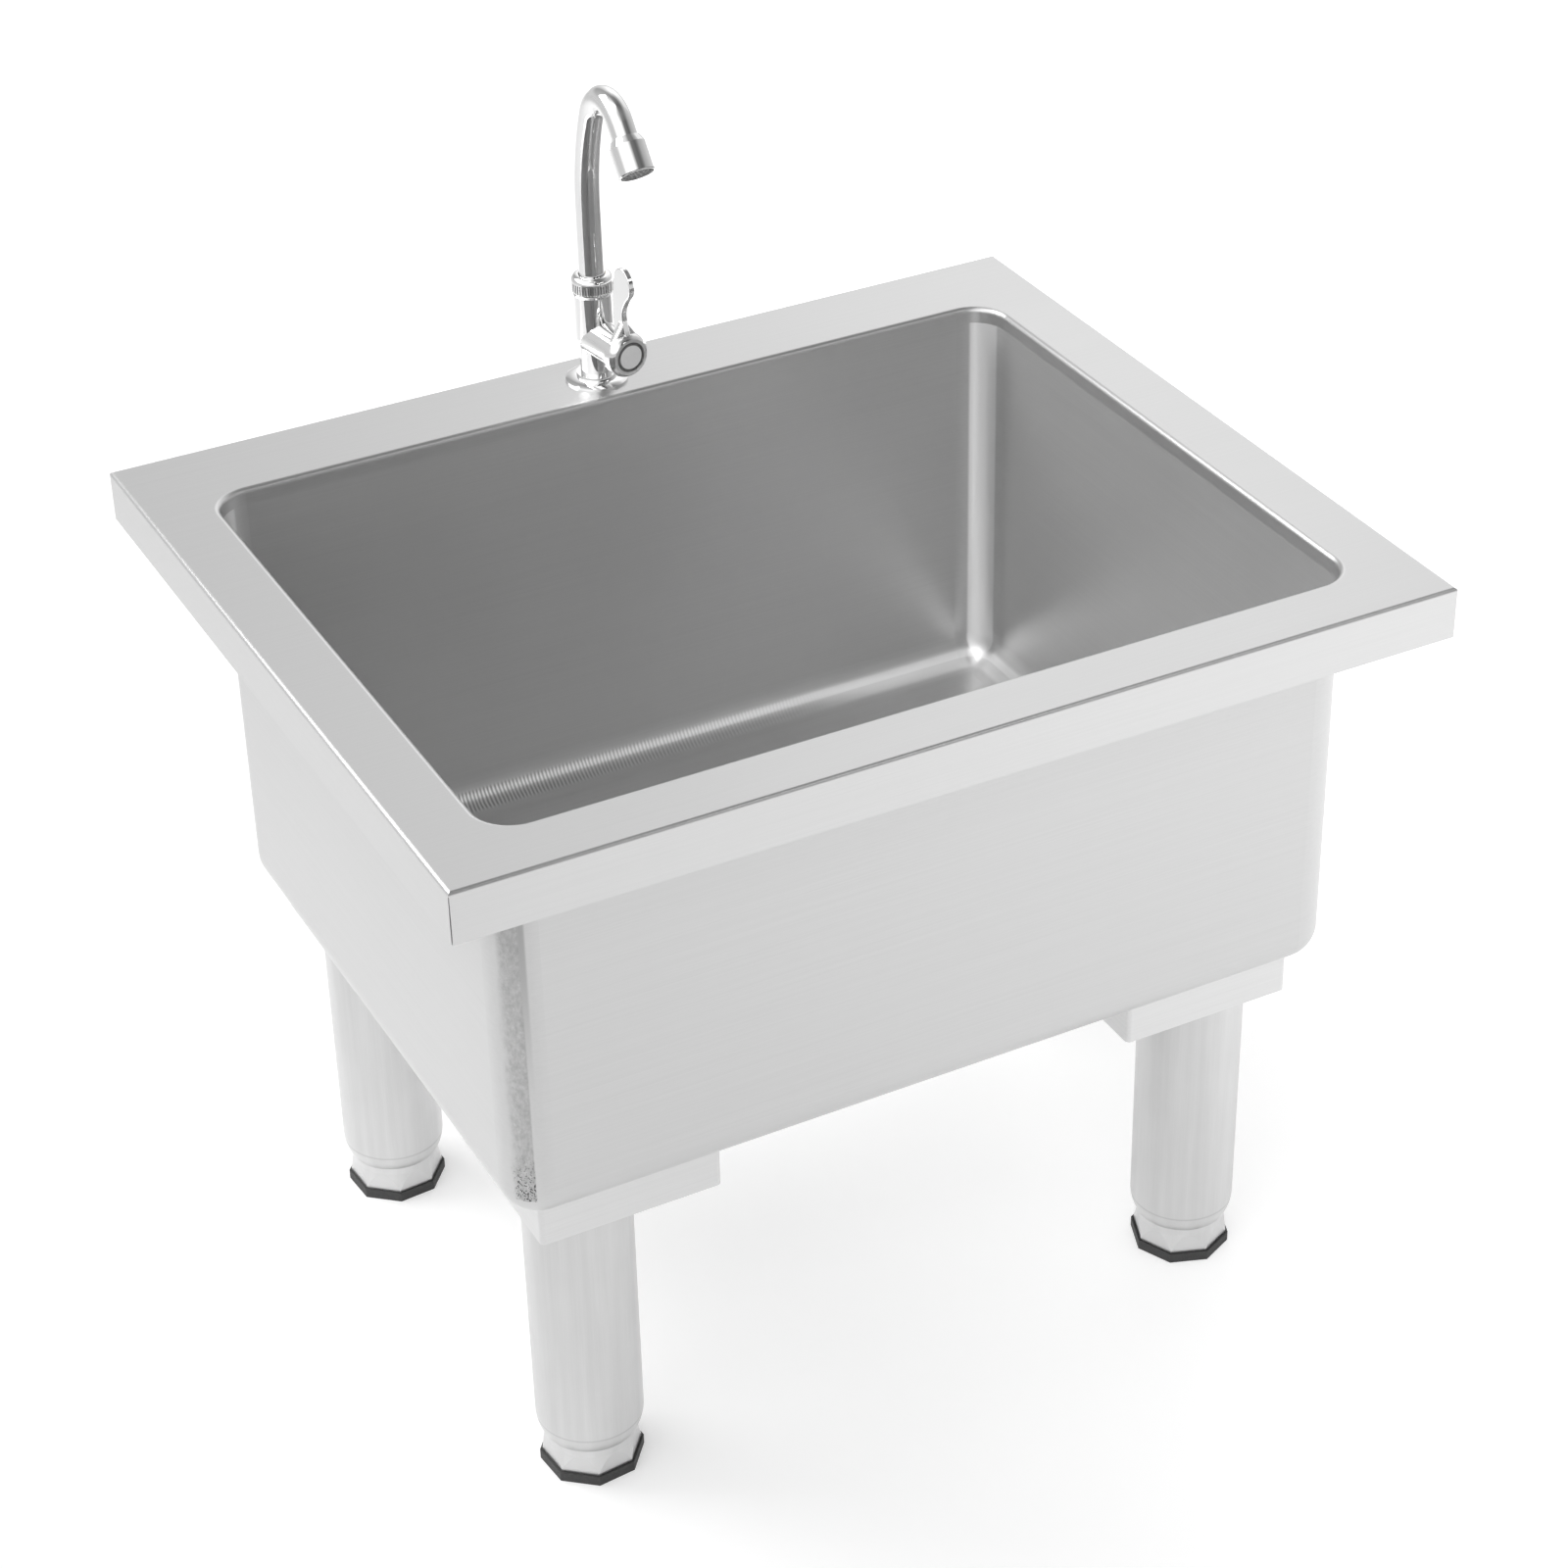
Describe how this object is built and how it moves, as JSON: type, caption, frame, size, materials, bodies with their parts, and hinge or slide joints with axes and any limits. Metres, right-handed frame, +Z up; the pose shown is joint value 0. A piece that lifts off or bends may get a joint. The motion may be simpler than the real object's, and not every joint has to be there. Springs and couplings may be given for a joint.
{
  "type": "utility sink",
  "caption": "Free-standing steel utility sink on short tubular legs, with a lever pillar tap whose swan-neck spout swivels and a basket strainer.",
  "frame": {"origin": "on the floor, under the middle of the rim", "axes": "+X along the long side to the right, +Y to the back where the tap stands, +Z up"},
  "size_m": [0.6, 0.5, 0.6849],
  "materials": {
    "bowl_steel": "fine brushed stainless sheet",
    "bracket_steel": "smooth folded stainless sheet",
    "leg_steel": "smooth drawn stainless tube",
    "foot_steel": "turned stainless",
    "plain_steel": "plain stainless",
    "black_rubber": "matte moulded rubber",
    "white_plastic": "plain polypropylene",
    "chrome": "polished chrome plate",
    "brass": "machined brass",
    "grey_plastic": "moulded, fine holes",
    "index_plastic": "smooth pale grey, bare"
  },
  "bodies": {
    "sink": {"rim_deck": "bowl_steel", "bowl": "bowl_steel", "leg_bracket_front_left": "bracket_steel", "leg_socket_front_left": "plain_steel", "leg_tube_front_left": "leg_steel", "leg_nut_front_left": "plain_steel", "leg_bracket_front_right": "bracket_steel", "leg_socket_front_right": "plain_steel", "leg_tube_front_right": "leg_steel", "leg_nut_front_right": "plain_steel", "leg_bracket_rear_left": "bracket_steel", "leg_socket_rear_left": "plain_steel", "leg_tube_rear_left": "leg_steel", "leg_nut_rear_left": "plain_steel", "leg_bracket_rear_right": "bracket_steel", "leg_socket_rear_right": "plain_steel", "leg_tube_rear_right": "leg_steel", "leg_nut_rear_right": "plain_steel", "leg_screws": "plain_steel", "strainer_body": "plain_steel", "drain_gasket": "black_rubber", "drain_lock_nut": "plain_steel", "tail_washer": "black_rubber", "tailpiece": "white_plastic", "tail_nut": "white_plastic", "tap_flange": "chrome", "tap_flange_gasket": "black_rubber", "tap_body": "chrome", "tap_rubber_washer": "black_rubber", "tap_steel_washer": "plain_steel", "tap_lock_nut": "brass", "spout_seal": "black_rubber", "spout_nut": "chrome", "valve_cartridge": "brass"},
    "spout": {"spout_tube": "chrome", "spout_collar": "brass", "aerator_housing": "chrome", "aerator_washer": "black_rubber", "aerator_insert": "grey_plastic"},
    "lever": {"tap_handle": "chrome", "index_cap": "index_plastic", "handle_screw": "plain_steel", "valve_spindle": "brass"},
    "basket": {"strainer_basket": "plain_steel", "basket_knob": "plain_steel", "basket_stopper": "black_rubber"},
    "levelling_foot_front_left": {"foot_front_left": "foot_steel", "foot_pad_front_left": "black_rubber"},
    "levelling_foot_front_right": {"foot_front_right": "foot_steel", "foot_pad_front_right": "black_rubber"},
    "levelling_foot_rear_left": {"foot_rear_left": "foot_steel", "foot_pad_rear_left": "black_rubber"},
    "levelling_foot_rear_right": {"foot_rear_right": "foot_steel", "foot_pad_rear_right": "black_rubber"}
  },
  "joints": [
    {"name": "spout_swivel", "type": "hinge", "parent": "sink", "child": "spout", "pos_m": [0.001, 0.218, 0.55], "axis": [0, 0, 1], "continuous": true},
    {"name": "lever_turn", "type": "hinge", "parent": "sink", "child": "lever", "pos_m": [0.001, 0.218, 0.514], "axis": [0.1392, -0.9903, 0], "range_deg": [0, 90]},
    {"name": "basket_lift", "type": "slide", "parent": "sink", "child": "basket", "axis": [0, 0, 1], "range_m": [0, 0.12]},
    {"name": "foot_height_front_left", "type": "slide", "parent": "sink", "child": "levelling_foot_front_left", "axis": [0, 0, -1], "range_m": [-0.004, 0.025]},
    {"name": "foot_height_front_right", "type": "slide", "parent": "sink", "child": "levelling_foot_front_right", "axis": [0, 0, -1], "range_m": [-0.004, 0.025]},
    {"name": "foot_height_rear_left", "type": "slide", "parent": "sink", "child": "levelling_foot_rear_left", "axis": [0, 0, -1], "range_m": [-0.004, 0.025]},
    {"name": "foot_height_rear_right", "type": "slide", "parent": "sink", "child": "levelling_foot_rear_right", "axis": [0, 0, -1], "range_m": [-0.004, 0.025]}
  ]
}
